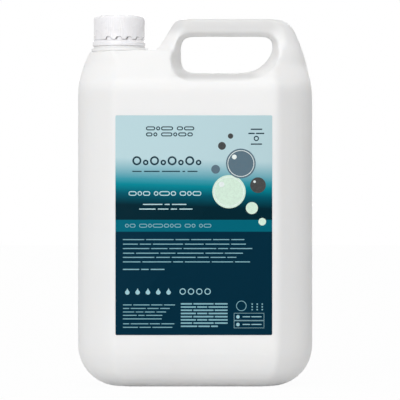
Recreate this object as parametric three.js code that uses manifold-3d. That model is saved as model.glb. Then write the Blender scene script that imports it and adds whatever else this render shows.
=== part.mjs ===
// Five litre refill can of liquid hand soap: a blow-moulded plastic can with its own
// carrying handle, closed by a screw cap with a sealing wad and a tamper band, and a
// printed label on the front panel. Millimetres, +Z up, front face towards -Y, with the
// origin on the floor under the middle of the can.

import * as THREE from "three";
import { mergeVertices } from "three/addons/utils/BufferGeometryUtils.js";
import Module from "manifold-3d";

const wasm = await Module();
wasm.setup();

// Can: overall sizes
const canWidth = 189;
const canDepth = 126;
const canHeight = 297; // floor to the top of the handle
const cornerAcross = 29; // bevelled upright corners, seen from above: along the front
const cornerDeep = 24; // and along the side
const panelRounding = 4; // bend from the front panel into the bevel
const sideRounding = 26; // wide bend from the bevel into the side: on the bevel
const sideRun = 16; // and on the side
const baseRadius = 33; // edge between the walls and the base
const baseRim = 13; // flat ring that the can stands on
const baseRecess = 2.5; // how far the middle of the base is pushed up
const baseCorner = 0.3; // size of the base's corners, against the upright ones

// Can: shoulders, and the ridge that carries the neck and the handle
const handleRise = 25.7; // ridge to the top of the handle
const shoulderDrop = 28.3; // ridge down to the front and back shoulder edges
const wallDrop = 39.3; // ridge down to where the side walls begin to lean in
const shoulderRounding = 8;
const ridgeDepth = 48;
const ridgeSetIn = 9.3; // left end of the ridge, in from the side wall
const rightLean = 13; // right shoulder curve, in from the side wall at its top
const rightCornerDrop = 11.5; // top of that curve, below the top of the handle
const rightCornerRun = 16.5; // handle's outer corner, along its top

// Can: handle and the finger hole under it
const gripHeight = 13.9;
const gripDepth = 28;
const gripRounding = 5;
const legGap = 6.5; // edge of the neck's pad to the foot of the handle's left leg
const legAngle = 58.6; // slope of that leg, in degrees
const legThickness = 20; // level distance from the leg's foot to the hole
const legRounding = 5;
const holeDrop = 18.1; // ridge down to the lowest edge of the hole
const holeSetIn = 32.8; // hole's right edge, in from the side wall
const holeCorner = 8;
const holeSweepAcross = 26; // wide curve at the hole's lower right corner
const holeSweepUp = 23;
const rimFlare = 8.2; // how much the hole widens towards the front and the back
const rimReach = 34; // distance from the parting plane where that flare is full

// Neck, with the bead that keeps the tamper band on
const neckSetIn = 32.8; // neck axis, in from the left side wall
const padMargin = 1.5; // the pad's edge, beyond the tamper band
const padShift = 0.8; // pad centre, beside the neck axis
const padHeight = 1.9;
const padRoot = 14; // the pad's side runs down this far into the shoulders
const neckHeight = 23.3; // above the pad
const neckRadius = 17.7; // at the root of the thread
const neckWall = 2.1;
const collarHeight = 3.1;
const collarStep = 1; // collar radius beyond the neck
const beadHeight = 4.1; // underside of the bead, above the pad
const beadStep = 1.7;
const beadFace = 1;
const beadSlope = 2;
const soapDepth = 47; // lip of the neck down to the surface of the soap

// Cap, tamper band and wad
const threadDepth = 1; // the thread itself is a fine detail of the finished surface
const threadClearance = 0.6;
const capWall = 1.5;
const capRoof = 2;
const capCornerRun = 5.9;
const capCornerDrop = 3.7;
const skirtGap = 0.4; // slit between the skirt and the tamper band
const bandStep = 1; // band radius beyond the skirt
const bandHeight = 6.3;
const bandLift = 1.9; // underside of the band, above the pad
const bandLip = 1.4;
const runningGap = 0.3;
const wadThickness = 1.4;
const wadGap = 0.1; // wad to the roof of the cap
const wadSetIn = 1.4; // wad radius, inside the bore of the cap

// Label
const labelMargin = 3.25; // to the bevelled corners on both sides
const labelDrop = 54; // ridge down to the top edge of the label
const labelFoot = 42.8; // floor up to its bottom edge
const labelShift = -1; // label centre, beside the middle of the can
const labelThickness = 0.2;
const labelGap = 0.05;
const labelCorner = 1;

// Fineness
const cornerSteps = 6;
const baseSteps = 9;
const shoulderSteps = 15;
const handleSteps = 16;
const curveSteps = 16;
const turnSteps = 72;

// Levels and places that follow from the sizes above
const ridgeTop = canHeight - handleRise;
const wallTop = ridgeTop - wallDrop;
const shoulderEdge = ridgeTop - shoulderDrop;
const padTop = ridgeTop + padHeight;
const neckX = -canWidth / 2 + neckSetIn;
const neckTop = padTop + neckHeight;
const boreRadius = neckRadius - neckWall;
const capBore = neckRadius + threadDepth + threadClearance;
const skirtRadius = capBore + capWall;
const bandRadius = skirtRadius + bandStep;
const padRadius = bandRadius + padMargin;
const bandBottom = padTop + bandLift;
const bandTop = bandBottom + bandHeight;
const wadBottom = neckTop + runningGap;
const capCeiling = wadBottom + wadThickness + wadGap;
const capTop = capCeiling + capRoof;

const point = (x, y) => new THREE.Vector2(x, y);

// Moves a path along to just before a corner, and rounds the corner off
function roundCorner(path, corner, next, before, after) {
  const start = path.currentPoint.clone();
  const arrive = corner.clone().sub(start).setLength(before);
  const leave = next.clone().sub(corner).setLength(after);
  path.lineTo(corner.x - arrive.x, corner.y - arrive.y);
  path.quadraticCurveTo(corner.x, corner.y, corner.x + leave.x, corner.y + leave.y);
}

// Left edge of the can, seen from the front, from the wall up to the ridge
function leftShoulder() {
  const path = new THREE.Path().moveTo(-canWidth / 2, wallTop);
  path.bezierCurveTo(
    -canWidth / 2, wallTop + 0.46 * wallDrop,
    -canWidth / 2 + 0.38 * ridgeSetIn, wallTop + 0.71 * wallDrop,
    -canWidth / 2 + ridgeSetIn, ridgeTop,
  );
  return path.getPoints(curveSteps);
}

// Right edge, from the wall up and round into the top of the handle
function rightShoulder() {
  const top = canHeight - rightCornerDrop;
  const rise = top - wallTop;
  const path = new THREE.Path().moveTo(canWidth / 2, wallTop);
  path.bezierCurveTo(
    canWidth / 2, wallTop + 0.34 * rise,
    canWidth / 2 - 0.46 * rightLean, wallTop + 0.71 * rise,
    canWidth / 2 - rightLean, top,
  );
  path.bezierCurveTo(
    canWidth / 2 - rightLean - 0.2 * rightCornerRun, top + 0.64 * rightCornerDrop,
    canWidth / 2 - rightLean - 0.45 * rightCornerRun, canHeight,
    canWidth / 2 - rightLean - rightCornerRun, canHeight,
  );
  return path.getPoints(curveSteps);
}

// Outer edge of the handle's left leg, from the ridge up to the top of the handle
const legFoot = point(neckX + padShift + padRadius + legGap, ridgeTop);
function leftLeg() {
  const run = handleRise / Math.tan(THREE.MathUtils.degToRad(legAngle));
  const head = point(legFoot.x + run, canHeight);
  const path = new THREE.Path().moveTo(legFoot.x - 2 * legRounding, ridgeTop);
  roundCorner(path, legFoot, head, legRounding, legRounding);
  roundCorner(path, head, point(head.x + run, canHeight), legRounding, legRounding);
  return path.getPoints(curveSteps);
}

// Half the depth of the can at each height above the wall, from the parting plane
function depthEdge() {
  const shoulder = point(canDepth / 2, shoulderEdge);
  const slope = (canDepth - ridgeDepth) / 2 / shoulderDrop;
  const gripFoot = point(gripDepth / 2, ridgeTop + (ridgeDepth - gripDepth) / 2 / slope);
  const gripTop = point(gripDepth / 2, canHeight);
  const path = new THREE.Path().moveTo(canDepth / 2, wallTop);
  roundCorner(path, shoulder, gripFoot, 0.8 * shoulderRounding, shoulderRounding);
  roundCorner(path, gripFoot, gripTop, shoulderRounding, shoulderRounding);
  roundCorner(path, gripTop, point(0, canHeight), gripRounding, gripRounding);
  return path.getPoints(curveSteps);
}

// Sideways place of an edge at a height, on the line between its points
function edgeAt(edge, height) {
  const upper = edge.findIndex((p, i) => i > 0 && p.y >= height - 1e-6);
  const [a, b] = upper > 0 ? [edge[upper - 1], edge[upper]] : edge.slice(-2);
  const share = b.y - a.y < 1e-9 ? 0 : THREE.MathUtils.clamp((height - a.y) / (b.y - a.y), 0, 1);
  return a.x + share * (b.x - a.x);
}

// Upright corner at its full size, from the side round to the back, measured from where
// the two faces would meet
function cornerCurve() {
  const sideBend = point(0, -cornerDeep);
  const backBend = point(-cornerAcross, 0);
  const path = new THREE.Path().moveTo(0, -cornerDeep - 2 * sideRun);
  roundCorner(path, sideBend, backBend, sideRun, sideRounding);
  roundCorner(path, backBend, point(-2 * cornerAcross, 0), panelRounding, panelRounding);
  return path.getPoints(cornerSteps).slice(1); // the first one is only on the way there
}

const corner = cornerCurve();

// Level section of the can: a rectangle with four such corners, anticlockwise from above
function section(left, right, halfDepth, cornerScale, height) {
  const place = (p, x, y) => {
    const across = x * (p.x * cornerScale) + (x > 0 ? right : left);
    return new THREE.Vector3(across, y * (halfDepth + p.y * cornerScale), height);
  };
  const turnedBack = [...corner].reverse();
  return [
    ...corner.map((p) => place(p, 1, 1)),
    ...turnedBack.map((p) => place(p, -1, 1)),
    ...corner.map((p) => place(p, -1, -1)),
    ...turnedBack.map((p) => place(p, 1, -1)),
  ];
}

// Closed solid through a row of rings that all have as many points
function loft(rings) {
  const count = rings[0].length;
  const middle = (ring) =>
    ring.reduce((sum, p) => sum.add(p), new THREE.Vector3()).divideScalar(count);
  const points = [...rings.flat(), middle(rings[0]), middle(rings.at(-1))];
  const first = rings.length * count;
  const last = first + 1;
  const top = (rings.length - 1) * count;
  const faces = [];
  for (let j = 0; j < count; j++) {
    const next = (j + 1) % count;
    for (let a = 0; a < top; a += count) {
      faces.push(a + j, a + next, a + count + next);
      faces.push(a + j, a + count + next, a + count + j);
    }
    faces.push(first, next, j);
    faces.push(last, top + j, top + next);
  }
  return new THREE.BufferGeometry().setFromPoints(points).setIndex(faces);
}

// Solid turned about the neck axis from a profile of radius and height
function turned(profile, x = neckX) {
  const geometry = new THREE.LatheGeometry(profile.map(([r, z]) => point(r, z)), turnSteps);
  return geometry.rotateX(Math.PI / 2).translate(x, 0, 0);
}

// Closed mesh as a solid that can be joined and cut
function solid(geometry) {
  geometry.deleteAttribute("normal");
  geometry.deleteAttribute("uv");
  const merged = mergeVertices(geometry, 1e-4);
  const mesh = new wasm.Mesh({
    numProp: 3,
    vertProperties: new Float32Array(merged.attributes.position.array),
    triVerts: new Uint32Array(merged.index.array),
  });
  return new wasm.Manifold(mesh);
}

function geometryOf(made) {
  const mesh = made.getMesh();
  const positions = new Float32Array(mesh.numVert * 3);
  for (let i = 0; i < mesh.numVert; i++) {
    const at = i * mesh.numProp;
    positions.set(mesh.vertProperties.subarray(at, at + 3), i * 3);
  }
  const geometry = new THREE.BufferGeometry();
  geometry.setAttribute("position", new THREE.BufferAttribute(positions, 3));
  geometry.setIndex(new THREE.BufferAttribute(new Uint32Array(mesh.triVerts), 1));
  geometry.computeVertexNormals();
  return geometry;
}

const left = leftShoulder();
const right = rightShoulder();
const leg = leftLeg();
const depth = depthEdge();
const cornerScaleAt = (halfDepth) => Math.min(1, (0.98 * halfDepth) / -corner[0].y);

// Tank: rounded base, upright walls, and shoulders that slope up to the ridge
function tank() {
  const rings = [];
  for (let i = 0; i <= baseSteps; i++) {
    const angle = (i / baseSteps) * (Math.PI / 2);
    const inset = baseRadius * (1 - Math.sin(angle));
    const height = baseRadius * (1 - Math.cos(angle));
    const halfWidth = canWidth / 2 - inset;
    const scale = 1 - (1 - baseCorner) * (inset / baseRadius);
    rings.push(section(-halfWidth, halfWidth, canDepth / 2 - inset, scale, height));
  }
  for (let i = 0; i <= shoulderSteps; i++) {
    const height = wallTop + (i / shoulderSteps) * wallDrop;
    const deep = edgeAt(depth, height);
    const sides = [edgeAt(left, height), edgeAt(right, height)];
    rings.push(section(...sides, deep, cornerScaleAt(deep), height));
  }
  return loft(rings);
}

// Handle block, before the finger hole is cut: it grows out of the ridge
function handleBlock() {
  const sunk = 6;
  const inside = 3;
  const deepFoot = edgeAt(depth, ridgeTop) - inside;
  const foot = [leg[0].x, edgeAt(right, ridgeTop) - inside];
  const rings = [section(...foot, deepFoot, cornerScaleAt(deepFoot), ridgeTop - sunk)];
  for (let i = 0; i <= handleSteps; i++) {
    const share = (1 - Math.cos((i / handleSteps) * Math.PI)) / 2;
    const height = ridgeTop + share * handleRise;
    const deep = edgeAt(depth, height);
    const start = edgeAt(leg, Math.max(height, ridgeTop + 0.02));
    rings.push(section(start, edgeAt(right, height), deep, cornerScaleAt(deep), height));
  }
  return loft(rings);
}

// Finger hole: narrowest on the parting plane, and wider towards the front and back
function holeOutline() {
  const top = canHeight - gripHeight;
  const bottom = ridgeTop - holeDrop;
  const start = legFoot.x + legThickness;
  const end = canWidth / 2 - holeSetIn;
  const path = new THREE.Path().moveTo(start + holeCorner, top);
  path.quadraticCurveTo(start + 0.1 * holeCorner, top, start, top - holeCorner);
  path.lineTo(start, bottom + 1.2 * holeCorner);
  path.quadraticCurveTo(start + 0.1 * holeCorner, bottom, start + 1.2 * holeCorner, bottom);
  path.lineTo(end - holeSweepAcross, bottom);
  path.bezierCurveTo(
    end - 0.35 * holeSweepAcross, bottom,
    end, bottom + 0.55 * holeSweepUp,
    end, bottom + holeSweepUp,
  );
  path.quadraticCurveTo(end - 0.1 * holeCorner, top, end - holeCorner, top);
  return path.getPoints(curveSteps / 2);
}

function fingerHole() {
  const outline = holeOutline();
  const through = canDepth / 2 + 5;
  const outward = (i) => {
    const before = outline.at(i - 1);
    const after = outline[(i + 1) % outline.length];
    return point(after.y - before.y, before.x - after.x).normalize();
  };
  const rings = [];
  const places = [through];
  for (let y = rimReach; y > -rimReach - 1; y -= rimReach / 9) places.push(y);
  places.push(-through);
  for (const y of places) {
    const share = Math.min(Math.abs(y) / rimReach, 1);
    const flare = (rimFlare / 2) * (1 - Math.cos(share * Math.PI));
    rings.push(
      outline.map((p, i) => {
        const moved = p.clone().addScaledVector(outward(i), flare);
        return new THREE.Vector3(moved.x, y, moved.y);
      }),
    );
  }
  return loft(rings);
}

function neck() {
  const bead = neckRadius + beadStep;
  const beadUnder = padTop + beadHeight;
  return turned([
    [0, ridgeTop - 6],
    [neckRadius + collarStep, ridgeTop - 6],
    [neckRadius + collarStep, padTop + collarHeight],
    [neckRadius, padTop + collarHeight + 0.4],
    [neckRadius, beadUnder],
    [bead, beadUnder],
    [bead, beadUnder + beadFace],
    [neckRadius, beadUnder + beadFace + beadSlope],
    [neckRadius, neckTop - 0.5],
    [neckRadius - 0.5, neckTop],
    [0, neckTop],
  ]);
}

function pad() {
  return turned(
    [
      [0, ridgeTop - padRoot],
      [padRadius, ridgeTop - padRoot],
      [padRadius, padTop - 0.6],
      [padRadius - 0.6, padTop],
      [0, padTop],
    ],
    neckX + padShift,
  );
}

// Neck's bore, down to the surface of the soap
function bore() {
  return turned([
    [0, neckTop - soapDepth],
    [boreRadius, neckTop - soapDepth],
    [boreRadius, neckTop + 1],
    [0, neckTop + 1],
  ]);
}

// Shallow recess under the base, so that the can stands on a flat ring
function recess() {
  const halfWidth = canWidth / 2 - baseRadius - baseRim;
  const halfDepth = canDepth / 2 - baseRadius - baseRim;
  const below = -1;
  const slope = 4;
  const ring = (inset, height) =>
    section(inset - halfWidth, halfWidth - inset, halfDepth - inset, baseCorner, height);
  return loft([ring(0, below), ring(0, 0), ring(slope, baseRecess)]);
}

function canBody() {
  const joined = [handleBlock(), pad(), neck()].reduce(
    (body, extra) => body.add(solid(extra)),
    solid(tank()),
  );
  const cut = [fingerHole(), bore(), recess()].reduce(
    (body, gone) => body.subtract(solid(gone)),
    joined,
  );
  return geometryOf(cut);
}

function screwCap() {
  const corner = [];
  for (let i = 0; i <= 6; i++) {
    const angle = (i / 6) * (Math.PI / 2);
    const radius = skirtRadius - capCornerRun * (1 - Math.cos(angle));
    corner.push([radius, capTop - capCornerDrop * (1 - Math.sin(angle))]);
  }
  return turned([
    [0, capCeiling],
    [capBore, capCeiling],
    [capBore, bandTop + skirtGap],
    [skirtRadius, bandTop + skirtGap],
    ...corner,
    [0, capTop],
  ]);
}

// Band that stays on the neck: its inner lip catches under the bead
function tamperBand() {
  const inside = neckRadius + beadStep + 2 * runningGap;
  const lip = neckRadius + collarStep + runningGap;
  return turned([
    [lip, bandBottom],
    [bandRadius - 0.5, bandBottom],
    [bandRadius, bandBottom + 0.5],
    [bandRadius, bandTop - 2],
    [skirtRadius, bandTop],
    [inside, bandTop],
    [inside, bandBottom + bandLip + 0.4],
    [lip, bandBottom + bandLip],
    [lip, bandBottom],
  ]);
}

function capWad() {
  const radius = capBore - wadSetIn;
  return turned([
    [0, wadBottom],
    [radius, wadBottom],
    [radius, wadBottom + wadThickness],
    [0, wadBottom + wadThickness],
  ]);
}

function frontLabel() {
  const labelWidth = canWidth - 2 * (cornerAcross + labelMargin);
  const labelHeight = ridgeTop - labelDrop - labelFoot;
  const x = labelShift - labelWidth / 2;
  const z = labelFoot;
  const shape = new THREE.Shape();
  shape.moveTo(x + labelCorner, z);
  shape.lineTo(x + labelWidth - labelCorner, z);
  shape.quadraticCurveTo(x + labelWidth, z, x + labelWidth, z + labelCorner);
  shape.lineTo(x + labelWidth, z + labelHeight - labelCorner);
  shape.quadraticCurveTo(
    x + labelWidth, z + labelHeight,
    x + labelWidth - labelCorner, z + labelHeight,
  );
  shape.lineTo(x + labelCorner, z + labelHeight);
  shape.quadraticCurveTo(x, z + labelHeight, x, z + labelHeight - labelCorner);
  shape.lineTo(x, z + labelCorner);
  shape.quadraticCurveTo(x, z, x + labelCorner, z);
  const sheet = new THREE.ExtrudeGeometry(shape, {
    depth: labelThickness,
    bevelEnabled: false,
    curveSegments: 4,
  });
  return sheet.rotateX(Math.PI / 2).translate(0, -canDepth / 2 - labelGap, 0);
}

function piece(name, geometry, color, roughness) {
  const material = new THREE.MeshStandardMaterial({ color, roughness, metalness: 0 });
  const mesh = new THREE.Mesh(geometry, material);
  mesh.name = name;
  return mesh;
}

const can = new THREE.Group();
can.add(piece("can_body", canBody(), 0xf2f2f0, 0.45));
can.add(piece("tamper_band", tamperBand(), 0xf4f3f6, 0.4));
can.add(piece("screw_cap", screwCap(), 0xf4f3f6, 0.4));
can.add(piece("cap_wad", capWad(), 0xe6e4dc, 0.9));
can.add(piece("front_label", frontLabel(), 0x0b4a5c, 0.5));

export default can;
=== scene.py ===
"""Looks of a five litre refill can of liquid hand soap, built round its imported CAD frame.

The can shell, its parting line, the screw cap, the tamper ring, the sealing wad and the
printed label are modelled here as finished pieces. Lengths in the classes are millimetres,
and a turned profile is a list of radii and heights.
"""

import logging
import math
from collections.abc import Callable, Iterator, Sequence
from contextlib import contextmanager
from dataclasses import dataclass, field
from enum import Enum

import bmesh
import bpy
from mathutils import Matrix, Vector


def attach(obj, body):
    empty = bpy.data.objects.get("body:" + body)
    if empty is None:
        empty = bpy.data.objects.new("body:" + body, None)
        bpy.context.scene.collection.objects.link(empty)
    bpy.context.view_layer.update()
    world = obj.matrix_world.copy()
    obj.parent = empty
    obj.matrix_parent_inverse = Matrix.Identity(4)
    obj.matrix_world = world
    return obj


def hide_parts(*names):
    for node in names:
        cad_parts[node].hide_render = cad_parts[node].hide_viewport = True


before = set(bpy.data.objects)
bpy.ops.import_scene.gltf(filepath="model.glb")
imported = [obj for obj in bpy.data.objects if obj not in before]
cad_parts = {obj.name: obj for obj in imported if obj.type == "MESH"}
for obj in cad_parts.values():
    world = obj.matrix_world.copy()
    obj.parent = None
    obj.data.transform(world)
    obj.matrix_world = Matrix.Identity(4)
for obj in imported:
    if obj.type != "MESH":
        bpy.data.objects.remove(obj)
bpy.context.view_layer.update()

MM = 0.001
TURN = 2 * math.pi
UPRIGHT = (math.pi / 2, 0, 0)
WHITE = (1, 1, 1, 1)
BLACK = (0, 0, 0, 1)
# Radius at which a turned profile starts and ends beside its axis
PIN = 0.2
# Vertices nearer to each other than this are merged
WELD = 0.002 * MM

log = logging.getLogger("soap_can")

Point = tuple[float, float]
Colour = tuple[float, float, float]
Box = tuple[float, float, float, float]
Stops = Sequence[tuple[float, Colour]]
PlaceTest = Callable[[Vector], bool]
Piece = bpy.types.Object
Edge = bmesh.types.BMEdge
Material = bpy.types.Material
Socket = bpy.types.NodeSocket


class Body(Enum):
    """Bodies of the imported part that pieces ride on."""

    CAN = "can"
    CAP = "cap"
    WAD = "wad"


class Slot(Enum):
    """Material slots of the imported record."""

    CAN_PLASTIC = "can_plastic"
    CAP_PLASTIC = "cap_plastic"
    WAD_FOAM = "wad_foam"
    LABEL_FILM = "label_film"


class Cut(Enum):
    """Ways to combine two closed meshes."""

    JOIN = "UNION"
    REMOVE = "DIFFERENCE"


def linear(*levels: int) -> Colour:
    """Turns a screen colour into the linear one that shaders take.

    Args:
        *levels: Red, green and blue, from 0 to 255.

    Returns:
        The same from 0 to 1.
    """
    shares = [level / 255 for level in levels]
    return tuple(s / 12.92 if s < 0.04045 else ((s + 0.055) / 1.055) ** 2.4 for s in shares)


# Working with meshes


def deselect() -> None:
    """Leaves nothing selected."""
    bpy.ops.object.select_all(action="DESELECT")


def activate(piece: Piece) -> None:
    """Makes a piece the only selected object and the active one.

    Args:
        piece: The object to work on.
    """
    deselect()
    piece.select_set(True)
    bpy.context.view_layer.objects.active = piece


@contextmanager
def editing(piece: Piece) -> Iterator[None]:
    """Opens a piece in edit mode, by vertices, and closes it again.

    Args:
        piece: The object to edit.
    """
    activate(piece)
    bpy.ops.object.mode_set(mode="EDIT")
    bpy.ops.mesh.select_mode(type="VERT")
    yield
    bpy.ops.object.mode_set(mode="OBJECT")


def pick(piece: Piece, wanted: PlaceTest) -> None:
    """Selects the vertices of a piece in edit mode by their place, and nothing else.

    Args:
        piece: The object in edit mode.
        wanted: Says of a vertex's place, in metres, whether to select it.
    """
    bpy.ops.mesh.select_all(action="DESELECT")
    shape = bmesh.from_edit_mesh(piece.data)
    for vertex in shape.verts:
        if wanted(vertex.co):
            vertex.select_set(True)
    shape.select_flush(True)
    bmesh.update_edit_mesh(piece.data)


def pick_edges(piece: Piece, wanted: Callable[[Edge], bool]) -> None:
    """Selects the edges of a piece in edit mode that pass a test, and nothing else.

    Args:
        piece: The object in edit mode.
        wanted: Says of an edge whether to select it.
    """
    bpy.ops.mesh.select_mode(type="EDGE")
    bpy.ops.mesh.select_all(action="DESELECT")
    shape = bmesh.from_edit_mesh(piece.data)
    for edge in shape.edges:
        edge.select_set(wanted(edge))
    bmesh.update_edit_mesh(piece.data)


def runs_back(edge: Edge) -> bool:
    """Says whether an edge runs from front to back."""
    run = edge.verts[0].co - edge.verts[1].co
    return abs(run.y) > 0.9 * run.length


def weld() -> None:
    """Merges the doubles of the whole mesh in edit mode."""
    bpy.ops.mesh.select_all(action="SELECT")
    bpy.ops.mesh.remove_doubles(threshold=WELD)


def close_holes() -> None:
    """Fills every hole of the mesh in edit mode."""
    bpy.ops.mesh.select_all(action="SELECT")
    bpy.ops.mesh.fill_holes(sides=0)


def placed(name: str, data: bpy.types.ID) -> Piece:
    """Puts a new object into the scene.

    Args:
        name: Its name.
        data: Its mesh, lamp or camera.

    Returns:
        The object.
    """
    piece = bpy.data.objects.new(name, data)
    bpy.context.scene.collection.objects.link(piece)
    return piece


def finish_with(piece: Piece, kind: str, **settings: object) -> None:
    """Adds a modifier to a piece and applies it.

    Args:
        piece: The object to change.
        kind: The modifier's type.
        **settings: Values for the modifier.
    """
    activate(piece)
    modifier = piece.modifiers.new(kind.lower(), kind)
    for name, value in settings.items():
        setattr(modifier, name, value)
    bpy.ops.object.modifier_apply(modifier=modifier.name)


def combine(piece: Piece, other: Piece, how: Cut) -> None:
    """Joins a closed mesh to a piece or cuts it out of it.

    Args:
        piece: The object that stays.
        other: The object that is used up.
        how: Whether it is joined or cut out.
    """
    finish_with(piece, "BOOLEAN", operation=how.value, solver="MANIFOLD", object=other)
    bpy.data.objects.remove(other)


def settle(piece: Piece) -> None:
    """Puts a piece's place into its mesh and turns its faces outwards.

    Args:
        piece: The object to settle.
    """
    activate(piece)
    bpy.ops.object.transform_apply(location=True, rotation=True, scale=True)
    with editing(piece):
        weld()
        bpy.ops.mesh.normals_make_consistent(inside=False)


def turned(name: str, profile: Sequence[Point], centre: float, columns: int) -> Piece:
    """Turns a profile about an upright axis: a circle that is extruded and resized in steps.

    Args:
        name: The new object's name.
        profile: Radius and height of each ring, back to the first ring or with open ends.
        centre: The axis, sideways from the middle of the can.
        columns: The number of vertices in each ring.

    Returns:
        The new object, with its ends filled.
    """
    deselect()
    radius, height = profile[0]
    axis = Vector((centre, 0, 0)) * MM
    place = axis + Vector((0, 0, height * MM))
    bpy.ops.mesh.primitive_circle_add(vertices=columns, radius=radius * MM, location=place)
    piece = bpy.context.object
    piece.name = name
    with editing(piece):
        bpy.ops.mesh.select_all(action="SELECT")
        for next_radius, next_height in profile[1:]:
            rise = {"value": (0, 0, (next_height - height) * MM)}
            bpy.ops.mesh.extrude_edges_move(TRANSFORM_OT_translate=rise)
            share = next_radius / radius
            bpy.ops.transform.resize(value=(share, share, 1), center_override=axis)
            radius, height = next_radius, next_height
        weld()
        close_holes()
    settle(piece)
    return piece


def smooth(piece: Piece, degrees: float) -> None:
    """Shades a piece smoothly, apart from edges sharper than an angle.

    Args:
        piece: The object to shade.
        degrees: The angle between faces from which an edge stays sharp.
    """
    activate(piece)
    bpy.ops.object.shade_smooth_by_angle(angle=math.radians(degrees))


def hand_over(piece: Piece, body: Body, finish: Material, node: str | None = None) -> None:
    """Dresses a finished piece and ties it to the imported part.

    Args:
        piece: The finished object.
        body: The body that it rides on.
        finish: Its material.
        node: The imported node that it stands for, if it does.
    """
    piece.data.materials.clear()
    piece.data.materials.append(finish)
    if node:
        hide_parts(node)
    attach(piece, body.value)
    log.info("%s: %d faces, on %s", piece.name, len(piece.data.polygons), body.value)


# Finishes


class Nodes:
    """Node tree of a material or a world, with short ways to add and join nodes."""

    def __init__(self, owner: Material | bpy.types.World) -> None:
        """Starts an empty tree.

        Args:
            owner: The material or world.
        """
        owner.use_nodes = True
        self.tree = owner.node_tree
        self.tree.nodes.clear()

    def feed(self, node: bpy.types.Node, values: dict[str | int, object]) -> None:
        """Gives inputs of a node plain values, or links outputs to them.

        Args:
            node: The node.
            values: A value or an output for each input, by its name or number.
        """
        for key, value in values.items():
            end = node.inputs[key]
            if isinstance(value, Socket):
                self.tree.links.new(value, end)
            else:
                end.default_value = value

    def add(self, kind: str, **values: object) -> bpy.types.Node:
        """Adds a node.

        Args:
            kind: The node's type, without its first word.
            **values: What to feed it, with _ for each space in an input's name.

        Returns:
            The new node.
        """
        node = self.tree.nodes.new("ShaderNode" + kind)
        self.feed(node, {name.replace("_", " "): value for name, value in values.items()})
        return node

    def reckon(self, operation: str, *values: object) -> Socket:
        """Reckons with numbers.

        Args:
            operation: What to do.
            *values: What to feed it, in order.

        Returns:
            The result.
        """
        node = self.add("Math")
        node.operation = operation
        self.feed(node, dict(enumerate(values)))
        return node.outputs[0]

    def blend(self, share: Socket, first: bpy.types.Node, second: bpy.types.Node) -> Socket:
        """Blends two shaders, by the share of the second one."""
        node = self.add("MixShader")
        self.feed(node, {0: share, 1: first.outputs[0], 2: second.outputs[0]})
        return node.outputs[0]

    def seen(self) -> Socket:
        """Tests for rays that come from the camera or from glossy or clear surfaces.

        Returns:
            The output that is 1 for such a ray.
        """
        path = self.add("LightPath").outputs
        camera_or_glossy = self.reckon("MAXIMUM", path["Is Camera Ray"], path["Is Glossy Ray"])
        return self.reckon("MAXIMUM", camera_or_glossy, path["Is Transmission Ray"])


class Recipe(Nodes):
    """Shader tree of one finish, in the piece's own space."""

    def __init__(self, name: str) -> None:
        """Starts a material with a Principled shader.

        Args:
            name: The material's name.
        """
        self.material = bpy.data.materials.new(name)
        super().__init__(self.material)
        self.shader = self.add("BsdfPrincipled")
        self.add("OutputMaterial", Surface=self.shader.outputs[0])
        self.place = self.add("TexCoord").outputs["Object"]

    def set(self, **values: object) -> None:
        """Feeds the shader itself, with _ for each space in an input's name."""
        self.feed(self.shader, {name.replace("_", " "): value for name, value in values.items()})

    def noise(self, scale: float, detail: float) -> Socket:
        """Adds a cloudy pattern.

        Args:
            scale: The number of clouds in a metre.
            detail: How many finer layers it has.

        Returns:
            The output that runs from 0 to 1.
        """
        return self.add("TexNoise", Scale=scale, Detail=detail, Vector=self.place).outputs["Fac"]

    def between(self, source: Socket, low: float, high: float) -> Socket:
        """Spreads the middle of a pattern, from 0.3 to 0.7, over a range."""
        node = self.add("MapRange", Value=source, From_Min=0.3, From_Max=0.7, To_Min=low, To_Max=high)
        return node.outputs["Result"]

    def patch(self, share: float, edges: Sequence[tuple[str, float, float]]) -> Socket:
        """Marks a part of the piece by soft edges across its axes.

        Args:
            share: The value inside the part.
            edges: An axis for each edge, where the part starts to show, and where it is full.

        Returns:
            The output that runs from 0 outside the part to the share inside it.
        """
        split = self.add("SeparateXYZ", Vector=self.place)
        for axis, start, end in edges:
            along = split.outputs[axis]
            edge = self.add("MapRange", Value=along, From_Min=start * MM, From_Max=end * MM)
            edge.interpolation_type = "SMOOTHSTEP"
            share = self.reckon("MULTIPLY", edge.outputs["Result"], share)
        return share

    def tones(self, source: Socket, stops: Stops) -> Socket:
        """Turns a value into colours.

        Args:
            source: The value, from 0 to 1.
            stops: Places from 0 to 1, each with its linear colour.

        Returns:
            The colour output.
        """
        node = self.add("ValToRGB", Fac=source)
        ramp = node.color_ramp
        while len(ramp.elements) < len(stops):
            ramp.elements.new(0.5)
        for element, (place, _) in zip(ramp.elements, stops):
            element.position = place
        for element, (_, colour) in zip(ramp.elements, stops):
            element.color = (*colour, 1)
        return node.outputs["Color"]

    def mixed(self, share: Socket, first: object, second: object) -> Socket:
        """Mixes two colours, by the share of the second one."""
        node = self.add("Mix")
        node.data_type = "RGBA"
        self.feed(node, {0: share, 6: first, 7: second})
        return node.outputs[2]

    def bumps(self, *layers: tuple[Socket, float]) -> None:
        """Lays patterns on the surface as height.

        Args:
            *layers: Patterns, each with its height in millimetres.
        """
        below = {}
        for source, height in layers:
            node = self.add("Bump", Strength=1.0, Distance=height * MM, Height=source, **below)
            below = {"Normal": node.outputs[0]}
        self.set(**below)


# Painted shade on the handle bar and on the rim below the finger hole, where the handle shades the can:
# an axis, where the shade starts, where it is full
BAR_SHADE_EDGES = (("Z", 282, 291), ("X", -36, -22), ("X", 75, 60))
RIM_SHADE_EDGES = (("Z", 246.5, 249.5), ("Z", 255, 250.5), ("X", -22, -10), ("X", 56, 44))


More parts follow.
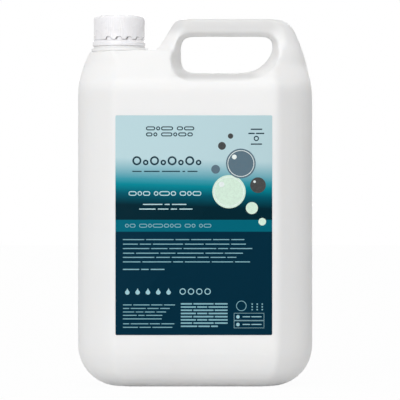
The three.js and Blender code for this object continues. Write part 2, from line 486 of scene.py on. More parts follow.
@dataclass(frozen=True)
class MouldedPlastic:
    """White polyethylene: faintly cloudy, satin, with the fine grain of its mould.

    Its sag, peel and grain are bumps, each with its fineness in a metre and its height.
    """

    name: str
    light: Colour
    deep: Colour
    roughness: Point
    sag: Point
    peel: Point
    grain: Point
    gloss: float
    glow: float
    # Painted shade: shares by which the colour of the handle bar and of the rim below the finger hole is
    # darkened
    bar_painted_shade: float = 0.0
    rim_painted_shade: float = 0.0

    def painted_shade(self, recipe: Recipe) -> Socket:
        """Marks the painted shade, which darkens the handle bar and the rim below the finger hole in the
        colour.

        Args:
            recipe: The shader tree.

        Returns:
            The share of painted shade on the handle bar and on the rim below it.
        """
        bar = recipe.patch(self.bar_painted_shade, BAR_SHADE_EDGES)
        return recipe.reckon("ADD", bar, recipe.patch(self.rim_painted_shade, RIM_SHADE_EDGES))

    def material(self) -> Material:
        """Builds the material.

        Returns:
            The new material.
        """
        recipe = Recipe(self.name)
        recipe.set(IOR=1.5, Subsurface_Weight=self.glow, Subsurface_Radius=(1.0, 0.9, 0.8))
        recipe.set(Subsurface_Scale=4 * MM, Specular_IOR_Level=self.gloss)
        colour = recipe.tones(recipe.noise(16, 3), [(0.3, self.deep), (0.7, self.light)])
        # Painted shade: the handle bar and the rim below the finger hole are mixed towards black
        if self.bar_painted_shade:
            colour = recipe.mixed(self.painted_shade(recipe), colour, BLACK)
        wear = recipe.between(recipe.noise(60, 4), *self.roughness)
        recipe.set(Base_Color=colour, Roughness=wear)
        layers = ((*self.sag, 1), (*self.peel, 2), (*self.grain, 2))
        recipe.bumps(*((recipe.noise(scale, detail), height) for scale, height, detail in layers))
        return recipe.material


@dataclass(frozen=True)
class WadFoam:
    """Foamed sheet with closed pores."""

    light: Colour = linear(232, 229, 221)
    deep: Colour = linear(214, 210, 200)
    pores: float = 2600.0

    def material(self) -> Material:
        """Builds the material.

        Returns:
            The new material.
        """
        recipe = Recipe("wad_foam")
        cells = recipe.add("TexVoronoi", Scale=self.pores, Vector=recipe.place)
        distance = cells.outputs["Distance"]
        colour = recipe.tones(distance, [(0.1, self.deep), (0.5, self.light)])
        recipe.set(Roughness=0.85, Specular_IOR_Level=0.3, Base_Color=colour)
        recipe.bumps((distance, 0.06), (recipe.noise(300, 2), 0.05))
        return recipe.material


@dataclass(frozen=True)
class LabelFilm:
    """Printed film: a slightly slanted fade above the band, and plain fields below it."""

    bottom: float
    top: float
    band: float
    fade: Stops
    fields: Stops
    slant: float = 0.03

    def ruler(self, recipe: Recipe, height: Socket) -> Socket:
        """Measures a height from the label's top edge, at 0, to its bottom edge, at 1."""
        node = recipe.add("MapRange", Value=height, From_Min=self.top * MM, From_Max=self.bottom * MM)
        return node.outputs["Result"]

    def material(self) -> Material:
        """Builds the material.

        Returns:
            The new material.
        """
        recipe = Recipe("label_film")
        split = recipe.add("SeparateXYZ", Vector=recipe.place)
        height = split.outputs["Z"]
        slanted = recipe.reckon("MULTIPLY_ADD", split.outputs["X"], self.slant, height)
        fade = recipe.tones(self.ruler(recipe, slanted), self.fade)
        fields = recipe.tones(self.ruler(recipe, height), self.fields)
        above = recipe.reckon("GREATER_THAN", height, self.band * MM)
        sheen = recipe.between(recipe.noise(120, 3), 0.5, 0.6)
        recipe.set(IOR=1.46, Specular_IOR_Level=0.04)
        recipe.set(Base_Color=recipe.mixed(above, fields, fade), Roughness=sheen)
        recipe.bumps((recipe.noise(14, 1), 0.12), (recipe.noise(1500, 1), 0.006))
        return recipe.material


@dataclass(frozen=True)
class Ink:
    """Screened ink on the film, in two close tones."""

    name: str
    colour: Colour

    def material(self) -> Material:
        """Builds the material.

        Returns:
            The new material.
        """
        recipe = Recipe(self.name)
        thin = tuple(min(1, 0.9 * c + 0.02) for c in self.colour)
        colour = recipe.tones(recipe.noise(700, 2), [(0.35, thin), (0.6, self.colour)])
        recipe.set(IOR=1.46, Roughness=0.5, Specular_IOR_Level=0.06, Base_Color=colour)
        recipe.bumps((recipe.noise(1500, 1), 0.004))
        return recipe.material


CAN_PLASTIC = MouldedPlastic(
    name="can_plastic",
    light=(0.895, 0.893, 0.89),
    deep=(0.878, 0.876, 0.873),
    roughness=(0.4, 0.5),
    sag=(9, 0.25),
    peel=(260, 0.03),
    grain=(1500, 0.012),
    gloss=0.3,
    glow=0.25,
    # Painted shade on the handle bar and on the rim below the finger hole
    bar_painted_shade=0.17,
    rim_painted_shade=0.16,
)

CAP_PLASTIC = MouldedPlastic(
    name="cap_plastic",
    light=(0.955, 0.937, 0.955),
    deep=(0.94, 0.921, 0.941),
    roughness=(0.24, 0.3),
    sag=(9, 0.05),
    peel=(500, 0.01),
    grain=(2200, 0.006),
    gloss=0.5,
    glow=0.3,
)


# Pieces


@dataclass
class Neck:
    """Sizes of the 38 mm neck, shared by the can, the cap and the ring."""

    centre: float = -61.7
    pad_top: float = 273.2
    lip: float = 296.5
    radius: float = 17.7
    bore: float = 15.6
    soap: float = 249.5
    collar: float = 18.7
    collar_top: float = 276.3
    ledge: float = 20.8
    ledge_top: float = 275.03
    bead: float = 19.4
    bead_under: float = 277.3
    pitch: float = 4.2
    thread: float = 1.0
    thread_foot: float = 2.0
    thread_crest: float = 0.45
    thread_start: float = 282.0
    thread_steps: int = 90
    taper_degrees: float = 25.0
    columns: int = 180

    def distance(self, place: Vector) -> float:
        """Gives a point's distance from the neck's axis, in millimetres."""
        return math.hypot(place.x / MM - self.centre, place.y / MM)

    def angle(self, place: Vector) -> float:
        """Gives a point's direction from the neck's axis, in degrees from 0 to 360."""
        return math.degrees(math.atan2(place.y, place.x - self.centre * MM)) % 360

    def helix(self, name: str, root: float, crest: float, start: float, turns: float) -> Piece:
        """Winds one thread round the axis.

        Args:
            name: The new object's name.
            root: Radius where it sits in the wall.
            crest: Radius of its crest.
            start: Height of its lower end.
            turns: How many turns it has.

        Returns:
            The closed thread, with both ends tapering into the wall.
        """
        deselect()
        middle = (root + crest) / 2
        size = (abs(crest - root), 1, self.thread_foot)
        bpy.ops.mesh.primitive_plane_add(size=MM, rotation=UPRIGHT)
        piece = bpy.context.object
        piece.name = name
        bpy.ops.object.transform_apply(location=False)
        with editing(piece):
            bpy.ops.mesh.select_all(action="SELECT")
            bpy.ops.transform.resize(value=size, center_override=(0, 0, 0))
            bpy.ops.transform.translate(value=(middle * MM, 0, 0))
            pick(piece, lambda p: abs(p.x - crest * MM) < 0.01 * MM)
            bpy.ops.transform.resize(value=(1, 1, self.thread_crest), center_override=(0, 0, 0))
            bpy.ops.mesh.select_all(action="SELECT")
            bpy.ops.mesh.delete(type="ONLY_FACE")
        steps = round(self.thread_steps * turns)
        finish_with(
            piece,
            "SCREW",
            axis="Z",
            angle=TURN * turns,
            screw_offset=self.pitch * turns * MM,
            steps=steps,
            render_steps=steps,
            use_merge_vertices=False,
        )
        piece.location = (self.centre * MM, 0, start * MM)
        settle(piece)
        with editing(piece):
            close_holes()
            bpy.ops.mesh.normals_make_consistent(inside=False)
            self.taper(piece, root, start, turns)
        return piece

    def taper(self, piece: Piece, root: float, start: float, turns: float) -> None:
        """Draws both ends of a thread in edit mode into its wall.

        Args:
            piece: The thread.
            root: Radius where it sits in the wall.
            start: Height of its lower end.
            turns: How many turns it has.
        """
        total = 360 * turns
        shape = bmesh.from_edit_mesh(piece.data)
        for vertex in shape.verts:
            base = self.angle(vertex.co)
            rise = (vertex.co.z / MM - start) / self.pitch * 360
            along = base + 360 * round((rise - base) / 360)
            left = min(along, total - along)
            if left < self.taper_degrees:
                share = 0.05 + 0.95 * max(left, 0) / self.taper_degrees
                radius = self.distance(vertex.co)
                wanted = root + (radius - root) * share
                vertex.co.x = self.centre * MM + (vertex.co.x - self.centre * MM) * wanted / radius
                vertex.co.y *= wanted / radius
        bmesh.update_edit_mesh(piece.data)


@dataclass
class CanShell:
    """Blow-moulded can with its handle, pad and threaded neck in one piece."""

    neck: Neck
    finish: Material
    voxel: float = 1.6
    softening: int = 5
    seam: float = 0.3
    seam_foot: float = 0.8
    seam_gap: float = 22.5
    seam_softening: int = 8
    plug: float = 17.2
    plug_foot: float = 240.0
    pad_radius: float = 23.5
    pad_shift: float = 0.8
    pad_height: float = 2.9
    pad_groove: float = 0.8
    saw_gap: float = 0.4
    saw_columns: int = 96
    hole_spread: float = 1.033
    hole_middle: tuple[float, float, float] = (10.0, 0.0, 270.0)
    hole_reach: float = 10.0
    hole_width: Point = (-14.0, 64.0)
    hole_height: Point = (255.0, 284.0)
    hole_depth: float = 14.0
    piece: Piece | None = field(default=None, init=False)

    def body(self) -> Piece:
        """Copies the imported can, plugs its bore, saws its neck off and softens its edges.

        The finger hole is drawn out a little sideways, because the softening narrows it.

        Returns:
            The can without its neck and the top of its pad.
        """
        deselect()
        piece = placed("can_shell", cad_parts["can_body"].data.copy())
        with editing(piece):
            weld()
        centre, top = self.neck.centre, self.neck.pad_top
        low, high, above = self.plug_foot, top + 4, top + 30
        rod = [(PIN, low), (self.plug, low), (self.plug, high), (PIN, high)]
        plug = turned("plug", rod, centre, self.saw_columns)
        combine(piece, plug, Cut.JOIN)
        under = top - self.pad_height
        edge = self.pad_radius + self.saw_gap
        slab = [(PIN, under), (edge, under), (edge, above), (PIN, above)]
        saw = turned("saw", slab, centre + self.pad_shift, self.saw_columns)
        combine(piece, saw, Cut.REMOVE)
        finish_with(piece, "REMESH", mode="VOXEL", voxel_size=self.voxel * MM, adaptivity=0.0)
        with editing(piece):
            pick(piece, self.on_hole)
            bpy.ops.transform.resize(
                value=(self.hole_spread, 1, 1),
                center_override=Vector(self.hole_middle) * MM,
                use_proportional_edit=True,
                proportional_edit_falloff="SMOOTH",
                proportional_size=self.hole_reach * MM,
            )
        finish_with(piece, "SMOOTH", factor=0.5, iterations=self.softening)
        return piece

    def on_hole(self, place: Vector) -> bool:
        """Says whether a point is on the wall of the finger hole."""
        x, y, z = place / MM
        (left, right), (low, high) = self.hole_width, self.hole_height
        return left < x < right and abs(y) < self.hole_depth and low < z < high

    def pad(self) -> Piece:
        """Turns the raised pad under the neck, with its crisp edge and the groove at its foot.

        Returns:
            The closed pad.
        """
        top, edge = self.neck.pad_top, self.pad_radius
        foot, groove = top - self.pad_height, edge - self.pad_groove
        profile = [
            (PIN, top - 10), (groove, top - 10), (groove, foot), (groove + 0.1, foot + 0.2),
            (edge, foot + 0.9), (edge, top - 0.6), (edge - 0.15, top - 0.2), (edge - 0.6, top),
            (PIN, top),
        ]
        return turned("pad", profile, self.neck.centre + self.pad_shift, self.neck.columns)

    def threaded_neck(self) -> Piece:
        """Turns the neck with its ledge, collar and bead, and winds the thread on it.

        Returns:
            The neck, closed at both ends and without its bore.
        """
        n = self.neck
        under, shelf, rim = n.bead_under, n.ledge_top, n.collar_top
        profile = [
            (PIN, n.pad_top - 9), (n.ledge, n.pad_top - 9), (n.ledge, shelf - 0.15),
            (n.ledge - 0.15, shelf), (n.collar, shelf + 0.1), (n.collar, rim - 0.35),
            (n.collar - 0.1, rim - 0.1), (n.collar - 0.35, rim), (n.radius + 0.1, rim + 0.3),
            (n.radius, rim + 0.6), (n.radius, under), (n.bead - 0.25, under),
            (n.bead, under + 0.25), (n.bead, under + 0.85), (n.bead - 0.2, under + 1.2),
            (n.radius + 0.15, under + 2.7), (n.radius, under + 3.1), (n.radius, n.lip - 0.9),
            (n.radius - 0.1, n.lip - 0.4), (n.radius - 0.4, n.lip - 0.1), (n.radius - 0.8, n.lip),
            (PIN, n.lip),
        ]
        made = turned("neck", profile, n.centre, n.columns)
        thread = n.helix("thread", n.radius - 0.3, n.radius + n.thread, n.thread_start, 2.6)
        combine(made, thread, Cut.JOIN)
        return made

    def bore(self) -> Piece:
        """Turns the cutter for the neck's bore, down to the surface of the soap.

        Returns:
            The cutter.
        """
        n = self.neck
        profile = [
            (PIN, n.soap), (n.bore - 0.6, n.soap), (n.bore, n.soap + 0.8), (n.bore, n.lip - 0.6),
            (n.bore + 0.6, n.lip + 0.1), (n.bore + 0.6, n.lip + 3), (PIN, n.lip + 3),
        ]
        return turned("bore", profile, n.centre, n.columns)

    def parting_line(self) -> Piece:
        """Lays the fine raised line where the halves of the mould met.

        Returns:
            The line as a mesh.
        """
        neck = self.neck
        line = placed("parting_line", self.piece.data.copy())
        cut = {"plane_co": (0, 0, 0), "plane_no": (0, 1, 0), "clear_inner": True, "clear_outer": True}
        with editing(line):
            bpy.ops.mesh.select_all(action="SELECT")
            bpy.ops.mesh.bisect(**cut)
            foot, pad = self.seam_foot * MM, (neck.pad_top - 4) * MM
            pick(line, lambda p: p.z < foot or (neck.distance(p) < self.seam_gap and p.z > pad))
            bpy.ops.mesh.delete(type="VERT")
        finish_with(line, "SMOOTH", factor=0.5, iterations=self.seam_softening)
        activate(line)
        bpy.ops.object.convert(target="CURVE")
        line = bpy.context.object
        line.data.bevel_depth = self.seam * MM
        line.data.bevel_resolution = 1
        line.data.use_fill_caps = True
        bpy.ops.object.convert(target="MESH")
        line = bpy.context.object
        settle(line)
        return line

    def build(self) -> None:
        """Builds the can and its parting line, and hands both over."""
        self.piece = self.body()
        line = self.parting_line()
        combine(self.piece, self.pad(), Cut.JOIN)
        combine(self.piece, self.threaded_neck(), Cut.JOIN)
        combine(self.piece, self.bore(), Cut.REMOVE)
        settle(self.piece)
        smooth(self.piece, 32)
        smooth(line, 60)
        hand_over(self.piece, Body.CAN, self.finish, "can_body")
        hand_over(line, Body.CAN, self.finish)


@dataclass
class Closure:
    """Sizes and plastic that the screw cap and the tamper ring share."""

    neck: Neck
    finish: Material
    skirt: float = 20.8
    bore: float = 19.3
    slit: float = 280.95
    gap: float = 0.4
    wave: float = 1.05
    teeth: int = 15
    tooth_foot: float = 261.0
    spread: float = 3.0
    plain: Point = (177.0, 235.0)
    closing: float = 0.12
    columns: int = 360

    def slit_rise(self, degrees: float, lag: float) -> float:
        """Gives the height of one side of the wavy slit, from its middle.

        Args:
            degrees: Direction from the neck's axis.
            lag: How many degrees later this side climbs each tooth.

        Returns:
            The rise in millimetres.
        """
        if self.plain[0] <= degrees <= self.plain[1]:
            return -self.wave + math.copysign(self.closing, lag)
        tooth = 360 / self.teeth
        along = (degrees - self.tooth_foot) % tooth
        climb = 2.5 + lag
        ramps = ((0, -1), (climb, -1), (climb + 3, 1), (13, 1), (17.5, -1), (tooth, -1))
        for (start, low), (end, high) in zip(ramps, ramps[1:]):
            if along <= end:
                return self.wave * (low + (high - low) * (along - start) / (end - start))
        return -self.wave

    def wavy(self, piece: Piece, wanted: PlaceTest, lag: float) -> None:
        """Lifts the vertices of an edge onto the wave of the slit.

        Args:
            piece: The cap or the ring.
            wanted: Says of a vertex's place whether it belongs to the edge.
            lag: How many degrees later this side climbs each tooth.
        """
        levels: dict[float, set[int]] = {}
        for column in range(self.columns):
            angle = 360 * column / self.columns
            levels.setdefault(round(self.slit_rise(angle, lag), 3), set()).add(column)
        with editing(piece):
            for rise, columns in levels.items():
                pick(piece, lambda p, group=columns: wanted(p) and self.column(p) in group)
                bpy.ops.transform.translate(value=(0, 0, rise * MM))

    def column(self, place: Vector) -> int:
        """Gives the column of vertices that a point belongs to."""
        return round(self.neck.angle(place) / 360 * self.columns) % self.columns


@dataclass
class ScrewCap:
    """Ribbed screw cap with its inner thread."""

    closure: Closure
    ceiling: float = 298.3
    top: float = 300.3
    corner_width: float = 5.9
    corner_height: float = 3.7
    corner_steps: int = 8
    ribs: int = 72
    rib_depth: float = 0.22

    def profile(self) -> list[Point]:
        """Gives the cap's section, from the middle of its ceiling to the middle of its top.

        Returns:
            Radius and height of each ring.
        """
        c = self.closure
        edge = c.slit + c.gap / 2
        corner = []
        for i in range(self.corner_steps + 1):
            angle = i / self.corner_steps * math.pi / 2
            inwards = self.corner_width * (1 - math.cos(angle))
            corner.append((c.skirt - inwards, self.top - self.corner_height * (1 - math.sin(angle))))
        return [
            (PIN, self.ceiling), (c.bore - 0.4, self.ceiling), (c.bore, self.ceiling - 0.4),
            (c.bore, edge + 2.4), (c.bore, edge + 0.15), (c.bore + 0.15, edge),
            (c.skirt - 0.2, edge), (c.skirt, edge + 0.2), (c.skirt, edge + 2.2),
            (c.skirt, edge + 2.6), (c.skirt, edge + 6), (c.skirt, edge + 10), *corner,
            (12.9, self.top), (12.4, self.top - 0.2), (1.6, self.top - 0.2),
            (1.4, self.top - 0.05), (PIN, self.top - 0.05),
        ]

    def on_wall(self, place: Vector) -> bool:
        """Says whether a point is on the ribbed part of the outer wall."""
        c = self.closure
        distance = c.neck.distance(place)
        outside = distance > c.bore + 0.3 or place.z > (self.ceiling + 0.1) * MM
        ribbed = (c.slit + 2.7) * MM < place.z < (self.top - 1.2) * MM
        return ribbed and outside and distance > c.bore - 1.6

    def rib(self, piece: Piece) -> None:
        """Draws the grooves between the ribs inwards.

        Args:
            piece: The plain cap.
        """
        c = self.closure
        each = c.columns // self.ribs
        axis = (c.neck.centre * MM, 0, 0)
        with editing(piece):
            for groups, depth in (({0}, self.rib_depth), ({1, each - 1}, 0.55 * self.rib_depth)):
                pick(piece, lambda p, g=groups: self.on_wall(p) and c.column(p) % each in g)
                share = 1 - depth / c.skirt
                bpy.ops.transform.resize(value=(share, share, 1), center_override=axis)

    def build(self) -> None:
        """Builds the cap and hands it over."""
        c, neck = self.closure, self.closure.neck
        cap = turned("cap_shell", self.profile(), neck.centre, c.columns)
        self.rib(cap)
        c.wavy(cap, lambda p: p.z < (c.slit + 1) * MM, -c.spread / 2)
        start = neck.thread_start + 1.5 * neck.pitch
        thread = neck.helix("cap_thread", c.bore + 0.3, neck.radius + 0.6, start, 1.9)
        combine(cap, thread, Cut.JOIN)
        settle(cap)
        smooth(cap, 40)
        hand_over(cap, Body.CAP, c.finish, "screw_cap")


@dataclass
class TamperRing:
    """Ring that stays on the neck, with its upper edge cut along the same wave."""

    closure: Closure
    under: float = 275.1
    radius: float = 21.8
    inside: float = 20.0
    lip: float = 19.0

    def build(self) -> None:
        """Builds the ring and hands it over."""
        c = self.closure
        under, top = self.under, c.slit - c.gap / 2
        profile = [
            (self.lip, under + 0.2), (self.lip + 0.2, under), (self.radius - 0.45, under),
            (self.radius - 0.1, under + 0.15), (self.radius, under + 0.5), (self.radius, top - 2.8),
            (self.radius - 0.15, top - 2.2), (c.skirt + 0.25, top - 1.75), (c.skirt, top - 1.55),
            (c.skirt, top - 0.15), (c.skirt - 0.12, top), (self.inside + 0.12, top),
            (self.inside, top - 0.15), (self.inside, top - 1.6), (self.inside, under + 1.8),
            (self.lip, under + 1.4), (self.lip, under + 0.2),
        ]
        ring = turned("tamper_ring", profile, c.neck.centre, c.columns)
        c.wavy(ring, lambda p: p.z > (top - 0.3) * MM, c.spread / 2)
        smooth(ring, 40)
        hand_over(ring, Body.CAN, c.finish, "tamper_band")


@dataclass
class SealingWad:
    """Foam disc in the roof of the cap, pressed in a ring by the lip of the neck."""

    neck: Neck
    finish: Material
    under: float = 296.8
    top: float = 298.2
    radius: float = 17.9
    columns: int = 120

    def build(self) -> None:
        """Builds the wad and hands it over."""
        bore, outside, under = self.neck.bore, self.neck.radius, self.under
        profile = [
            (PIN, under), (bore - 0.5, under), (bore + 0.1, under + 0.12),
            (outside - 0.5, under + 0.12), (outside - 0.05, under + 0.02),
            (self.radius, under + 0.2), (self.radius, self.top - 0.2),
            (self.radius - 0.2, self.top), (PIN, self.top),
        ]
        wad = turned("sealing_wad", profile, self.neck.centre, self.columns)
        smooth(wad, 50)
        hand_over(wad, Body.WAD, self.finish, "cap_wad")


@dataclass
class Print:
    """One ink: flat raised shapes on the label, set out across and down from its top left corner."""

    name: str
    left: float
    top: float
    face: float
    colour: Colour
    lift: float = 0.05
    link_gap: float = 0.7
    word_gap: float = 2.2
    piece: Piece | None = field(default=None, init=False)

    def at(self, across: float, down: float, lift: float = 0.0) -> Vector:
        """Gives the point of the label at a distance across, down and in front, in metres."""
        return Vector((self.left + across, self.face - lift, self.top - down)) * MM

    def bars(self, boxes: Sequence[Box], rounding: float) -> None:
        """Starts the ink with rounded bars.

        Args:
            boxes: Across, down, width and height of each bar.
            rounding: Radius of the bars' ends.
        """
        deselect()
        for across, down, width, height in boxes:
            middle = self.at(across + width / 2, down + height / 2)
            scale = Vector((width, 2 * self.lift, height)) * MM
            bpy.ops.mesh.primitive_cube_add(size=1, location=middle, scale=scale)
            if self.piece is None:
                self.add_made()
                bpy.ops.object.mode_set(mode="EDIT")
        pick_edges(self.piece, runs_back)
        bpy.ops.mesh.bevel(offset=rounding * MM, segments=2, affect="EDGES", clamp_overlap=True)
        bpy.ops.object.mode_set(mode="OBJECT")

    def add_made(self) -> None:
        """Adds the object that was just made to the ink."""
        made = bpy.context.object
        bpy.ops.object.transform_apply()
        if self.piece is None:
            self.piece = made
            made.name = self.name
            return
        activate(self.piece)
        made.select_set(True)
        bpy.ops.object.join()

    def spot(self, place: Vector, size: float, columns: int) -> None:
        """Makes a round spot and leaves it as the active object.

        Args:
            place: Its middle, in metres.
            size: Its diameter.
            columns: The number of vertices round it.
        """
        deselect()
        bpy.ops.mesh.primitive_cylinder_add(
            vertices=columns,
            radius=size / 2 * MM,
            depth=2 * self.lift * MM,
            location=place,
            rotation=UPRIGHT,
        )
        bpy.ops.object.transform_apply()

    def disc(self, across: float, down: float, size: float, lift: float = 0.0) -> None:
        """Adds a round spot.

        Args:
            across: Its middle.
            down: Its middle.
            size: Its diameter.
            lift: How far it stands in front of the other shapes.
        """
        self.spot(self.at(across, down, lift), size, 64)
        self.add_made()

    def drop(self, across: float, down: float, size: float) -> None:
        """Adds a drop with its point upwards.

        Args:
            across: The middle of its round part.
            down: The middle of its round part.
            size: Its width.
        """
        middle = self.at(across, down)
        half = size / 2 * MM
        self.spot(middle, size, 48)
        piece = bpy.context.object
        with editing(piece):
            for height, shift, squeeze in ((0.3, 0.12, 0.88), (0.62, 0.3, 0.62), (0.97, 0.42, 0.3)):
                pick(piece, lambda p, h=height: p.z > middle.z + h * half)
                bpy.ops.transform.resize(value=(squeeze, 1, 1), center_override=middle)
                bpy.ops.transform.translate(value=(0, 0, shift * half))
        self.add_made()

    def ring(
        self, across: float, down: float, size: float, stroke: float, lift: float = 0.0, draw: float = 0.0
    ) -> None:
        """Adds a flat ring, or one that is drawn out sideways into a link.

        Args:
            across: Its middle.
            down: Its middle.
            size: Its outer diameter.
            stroke: The width of its line.
            lift: How far it stands in front of the other shapes.
            draw: How far its right half is drawn out.
        """
        deselect()
        middle = self.at(across, down)
        bpy.ops.mesh.primitive_torus_add(
            major_radius=(size - stroke) / 2 * MM,
            minor_radius=stroke / 2 * MM,
            major_segments=32,
            minor_segments=6,
            location=self.at(across, down, lift),
            rotation=UPRIGHT,
        )
        piece = bpy.context.object
        piece.scale.z = 2 * self.lift / stroke
        bpy.ops.object.transform_apply()
        if draw:
            with editing(piece):
                pick(piece, lambda p: p.x > middle.x + 0.01 * MM)
                bpy.ops.transform.translate(value=(draw * MM, 0, 0))
        self.add_made()

    def chain(
        self, across: float, down: float, height: float, stroke: float, groups: Sequence[Sequence[float]]
    ) -> None:
        """Adds a line of links in groups.

        Args:
            across: The left end of the line.
            down: The top of the links.
            height: The links' height.
            stroke: The width of their line.
            groups: The lengths of the links in each group.
        """
        half = height / 2
        for group in groups:
            for length in group:
                self.ring(across + half, down + half, height, stroke, 0, length - height)
                across += length + self.link_gap
            across += self.word_gap

    def hand_over(self) -> None:
        """Settles the ink and ties it to the can."""
        settle(self.piece)
        smooth(self.piece, 30)
        ink = Ink(self.name, self.colour).material()
        hand_over(self.piece, Body.CAN, ink)


def words(across: float, down: float, height: float, lengths: Sequence[float], gap: float) -> list[Box]:
    """Sets out one line as plain bars with gaps between them.

    Args:
        across: The left end of the line.
        down: The top of the bars.
        height: The bars' height.
        lengths: The bars' lengths.
        gap: The gap between bars.

    Returns:
        Across, down, width and height of each bar.
    """
    made = []
    for length in lengths:
        made.append((across, down, length, height))
        across += length + gap
    return made


@dataclass
class Label:
    """Printed film on the front panel, with plain shapes for its print."""

    left: float = -63.25
    right: float = 61.25
    bottom: float = 42.8
    top: float = 217.3
    face: float = -63.25
    back: float = -62.95
    corner: float = 1.0
    band_start: float = 82.9
    band_end: float = 92.2

    def film(self) -> LabelFilm:
        """Sets out the film's colours: a fade, a band and a plain field, from the top down.

        Returns:
            The film's finish.
        """
        pale, sky, sea = linear(188, 216, 222), linear(144, 190, 201), linear(62, 154, 171)
        teal, deep, night = linear(6, 136, 151), linear(0, 86, 104), linear(0, 38, 50)
        band, navy = linear(0, 102, 121), linear(0, 44, 63)
        height = self.top - self.bottom
        fade = [(0.0, pale), (35.0, pale), (43.0, sky), (51.8, sea), (56.0, teal), (63.4, deep)]
        fade += [(72.5, night)]
        fields = [(self.band_end - 0.1, band), (self.band_end, navy)]
        parts = [tuple((down / height, colour) for down, colour in part) for part in (fade, fields)]
        return LabelFilm(self.bottom, self.top, self.top - self.band_start, *parts)

    def on_front_rim(self, edge: Edge) -> bool:
        """Says whether an edge of the film lies round its front face."""
        front = all(v.co.y < (self.face + 0.01) * MM for v in edge.verts)
        return front and len(edge.link_faces) == 2

    def sheet(self) -> None:
        """Builds the film and hands it over."""
        deselect()
        low = Vector((self.left, self.face, self.bottom))
        high = Vector((self.right, self.back, self.top))
        place, scale = (low + high) / 2 * MM, (high - low) * MM
        bpy.ops.mesh.primitive_cube_add(size=1, location=place, scale=scale)
        film = bpy.context.object
        film.name = "label_sheet"
        bpy.ops.object.transform_apply()
        with editing(film):
            pick_edges(film, runs_back)
            bpy.ops.mesh.bevel(offset=self.corner * MM, segments=6, affect="EDGES")
            pick_edges(film, self.on_front_rim)
            bpy.ops.mesh.bevel(offset=0.08 * MM, segments=2, affect="EDGES")
        settle(film)
        smooth(film, 40)
        hand_over(film, Body.CAN, self.film().material(), "front_label")

    def ink(self, name: str, *levels: int) -> Print:
        """Opens one ink, by its piece's name and screen colour."""
        return Print(name, self.left, self.top, self.face, linear(*levels))

    def dark_print(self) -> None:
        """Prints the dark shapes on the pale field: two lines, a row of rings, a fine line."""
        ink = self.ink("print_dark", 12, 52, 66)
        boxes = words(13.3, 44, 0.9, (7.5, 12.5, 14.5, 2.2, 8), 1.8)
        boxes += words(107.4, 10.5, 1, (9.2,), 1)
        boxes += words(105.6, 13.8, 1, (5, 6.6), 1)
        boxes += words(107.6, 22.3, 1, (8.8,), 1)
        ink.bars(boxes, 0.3)
        ink.chain(24.2, 8.7, 3.2, 0.85, ((7.4, 3.2, 9.6), (5, 8.2)))
        ink.chain(24.2, 13.5, 3.2, 0.85, ((5.2, 3.2), (9, 3.2, 6.6, 4.4)))
        for step in range(4):
            ink.ring(17 + 14 * step, 36, 7.2, 1.4)
            ink.ring(24 + 14 * step, 37.4, 4.4, 1.25)
        ink.ring(111.9, 18.3, 4.2, 0.9)
        ink.hand_over()

    def white_print(self) -> None:
        """Prints the white shapes in the deep field."""
        ink = self.ink("print_white", 192, 226, 232)
        boxes = words(21.8, 70.3, 0.8, (15.5, 4, 11.5), 1.8)
        boxes += words(18.8, 74, 0.8, (13, 8.5, 5, 10.5), 1.8)
        ink.bars(boxes, 0.25)
        ink.chain(10.4, 60.2, 3.6, 0.7, ((6.4, 3.6, 5.8), (3.6, 8.4, 4.2), (5.2, 3.6, 7)))
        ink.hand_over()

    def pale_print(self) -> None:
        """Prints the pale shapes on the band and in the navy field."""
        ink = self.ink("print_pale", 132, 182, 194)
        boxes: list[Box] = []
        lines = (
            (98.1, (17, 22, 11, 16, 13, 10.5)),
            (101.7, (12, 9, 24, 15, 19, 11.7)),
            (105.2, (21, 13, 10, 26, 8, 17.8)),
            (108.9, (9, 18, 12, 21, 14, 14.3)),
            (112.2, (25, 11, 19, 9, 12, 7.2)),
            (115.8, (14, 23, 8, 20, 17, 12.1)),
        )
        for down, lengths in lines:
            boxes += words(5.9, down + 0.2, 0.72, lengths, 1.4)
        boxes += words(5.9, 121.9, 0.85, (13, 6, 11), 1.5)
        block = (
            (150, (7, 13, 9, 8.8)),
            (152.8, (5, 12, 9, 7.6)),
            (155.6, (9, 6, 8, 7.7)),
            (158.3, (11, 5, 12.9)),
            (161.1, (30.9,)),
            (165, (5, 14, 8, 10.3)),
            (167.8, (12, 9, 15.9)),
        )
        for down, lengths in block:
            boxes += words(5.9, down + 0.2, 0.68, lengths, 1.2)
        even, odd, last = (9, 16, 10.2), (12, 8, 15.2), (13, 9, 5.5)
        for row, lengths in enumerate((even, odd, even, odd, even, odd, even, last)):
            boxes += words(51.9, 149.1 + 2.55 * row, 1.15, lengths, 1)
        ink.bars(boxes, 0.2)
        groups = ((3, 4.6), (6.4, 3, 8.2, 4, 3, 5.2), (4.8, 3), (3, 6))
        ink.chain(7.6, 86.1, 3, 0.55, groups)
        for step in range(3):
            for across in (108.6, 112.6, 116.6):
                ink.disc(across, 149.9 + 2.2 * step, 1.2)
        ink.ring(100, 151.3, 8.2, 0.5)
        ink.hand_over()

    def bright_print(self) -> None:
        """Prints the brighter shapes in the navy field: frames, spots, drops and rings."""
        ink = self.ink("print_bright", 158, 204, 214)
        left, width, height, line = 94.1, 24, 5.6, 0.25
        boxes: list[Box] = []
        for down in (157, 163.1):
            boxes += [(left, down, width, line), (left, down + height, width, line)]
            for across in (left, left + width - line):
                boxes.append((across, down + line + 0.02, line, height - line - 0.04))
            boxes += words(101, down + 2.6, 0.7, (6, 8), 1)
        ink.bars(boxes, 0.1)
        for down in (160, 166.1):
            ink.disc(97.3, down, 2.8)
        for step in range(5):
            ink.drop(9.4 + 8.2 * step, 140.6, 3.6)
        for step in range(4):
            ink.ring(53.4 + 6.6 * step, 139.9, 5, 0.7)
        ink.hand_over()

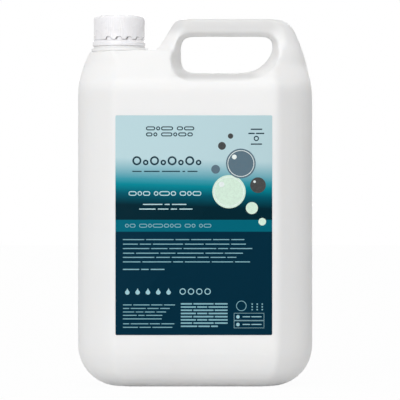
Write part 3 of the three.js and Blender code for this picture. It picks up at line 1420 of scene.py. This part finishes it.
    def bubbles(self) -> None:
        """Prints soap bubbles that drift up at the right, in four inks."""
        dark, green, slate = (113.2, 55.4, 12.4), (90.2, 60.6, 26.4), (99.6, 38.2, 23.6)
        inks = (
            (self.ink("bubbles_dark", 70, 72, 72), (dark, (84.6, 24.2, 6.2), (91.4, 16.4, 4.2))),
            (self.ink("bubbles_green", 216, 240, 222), (green, (108.4, 73.6, 9.6), (116.6, 84.4, 6))),
            (self.ink("bubbles_slate", 92, 116, 130), ((*slate, 0.04), (79.6, 42.8, 7))),
        )
        for ink, spots in inks:
            for spot in spots:
                ink.disc(*spot)
            ink.hand_over()
        shine = self.ink("bubbles_shine", 236, 246, 244)
        for across, down, size in (dark, green, slate):
            shine.disc(across - 0.22 * size, down - 0.22 * size, 0.16 * size, 0.1)
        shine.ring(*green[:2], 23.8, 0.5, 0.06)
        shine.ring(*slate[:2], 21.2, 0.5, 0.1)
        shine.hand_over()

    def build(self) -> None:
        """Builds the film and its print."""
        self.sheet()
        self.dark_print()
        self.white_print()
        self.pale_print()
        self.bright_print()
        self.bubbles()


# Studio


@dataclass(frozen=True)
class Softbox:
    """One broad, soft lamp that shines from a direction."""

    name: str
    energy: float
    source: tuple[float, float, float]
    spread: float

    def hang(self) -> None:
        """Adds the lamp to the studio."""
        data = bpy.data.lights.new(self.name, "SUN")
        data.energy = self.energy
        data.angle = math.radians(self.spread)
        lamp = placed(self.name, data)
        lamp.rotation_euler = Vector(self.source).to_track_quat("Z", "Y").to_euler()


SOFTBOXES = (
    Softbox("overhead", 1.05, (0.0, -0.05, 1.0), 50),
    Softbox("front_left", 1.58, (-0.24, -0.9, 0.34), 50),
    Softbox("rear_fill", 0.6, (0.1, 1.0, 0.15), 20),
)


@dataclass
class Studio:
    """Camera, floor, lamps and world."""

    lens: float = 287.4
    sensor: float = 36.0
    eye: tuple[float, float, float] = (0.0039, -2.6, 0.1501)
    sky: float = 0.3
    floor_size: float = 16.0
    floor_tone: float = 0.83
    floor_white: float = 0.965

    def camera(self) -> None:
        """Places the camera level in front of the can, with a long lens."""
        data = bpy.data.cameras.new("camera")
        data.lens = self.lens
        data.sensor_width = self.sensor
        data.clip_end = 60
        camera = placed("camera", data)
        camera.location = self.eye
        camera.rotation_euler = UPRIGHT
        bpy.context.scene.camera = camera

    def world(self) -> None:
        """Makes a plain white sky that lights the can at its own, lower level."""
        world = bpy.data.worlds.new("white")
        nodes = Nodes(world)
        sky = nodes.add("Background", Color=WHITE, Strength=self.sky)
        white = nodes.add("Background", Color=WHITE, Strength=1.0)
        nodes.add("OutputWorld", Surface=nodes.blend(nodes.seen(), sky, white))
        bpy.context.scene.world = world

    def floor(self) -> None:
        """Lays a white floor that keeps a faint shadow of the can."""
        deselect()
        bpy.ops.mesh.primitive_plane_add(size=self.floor_size)
        floor = bpy.context.object
        floor.name = "floor"
        material = bpy.data.materials.new("floor_white")
        nodes = Nodes(material)
        tone = self.floor_tone
        matt = nodes.add("BsdfDiffuse", Color=(tone, tone, tone, 1))
        glow = nodes.add("Emission", Strength=1.0)
        share = nodes.reckon("MULTIPLY", nodes.seen(), self.floor_white)
        nodes.add("OutputMaterial", Surface=nodes.blend(share, matt, glow))
        floor.data.materials.append(material)

    def build(self) -> None:
        """Sets the studio up, the camera first."""
        self.camera()
        for softbox in SOFTBOXES:
            softbox.hang()
        self.world()
        self.floor()
        bpy.context.scene.view_settings.view_transform = "Standard"


def main() -> None:
    """Builds the studio and the can, piece by piece."""
    logging.basicConfig(level=logging.INFO, format="%(name)s: %(message)s")
    Studio().build()
    neck = Neck()
    closure = Closure(neck, CAP_PLASTIC.material())
    CanShell(neck, CAN_PLASTIC.material()).build()
    ScrewCap(closure).build()
    TamperRing(closure).build()
    SealingWad(neck, WadFoam().material()).build()
    Label().build()


if __name__ == "__main__":
    main()
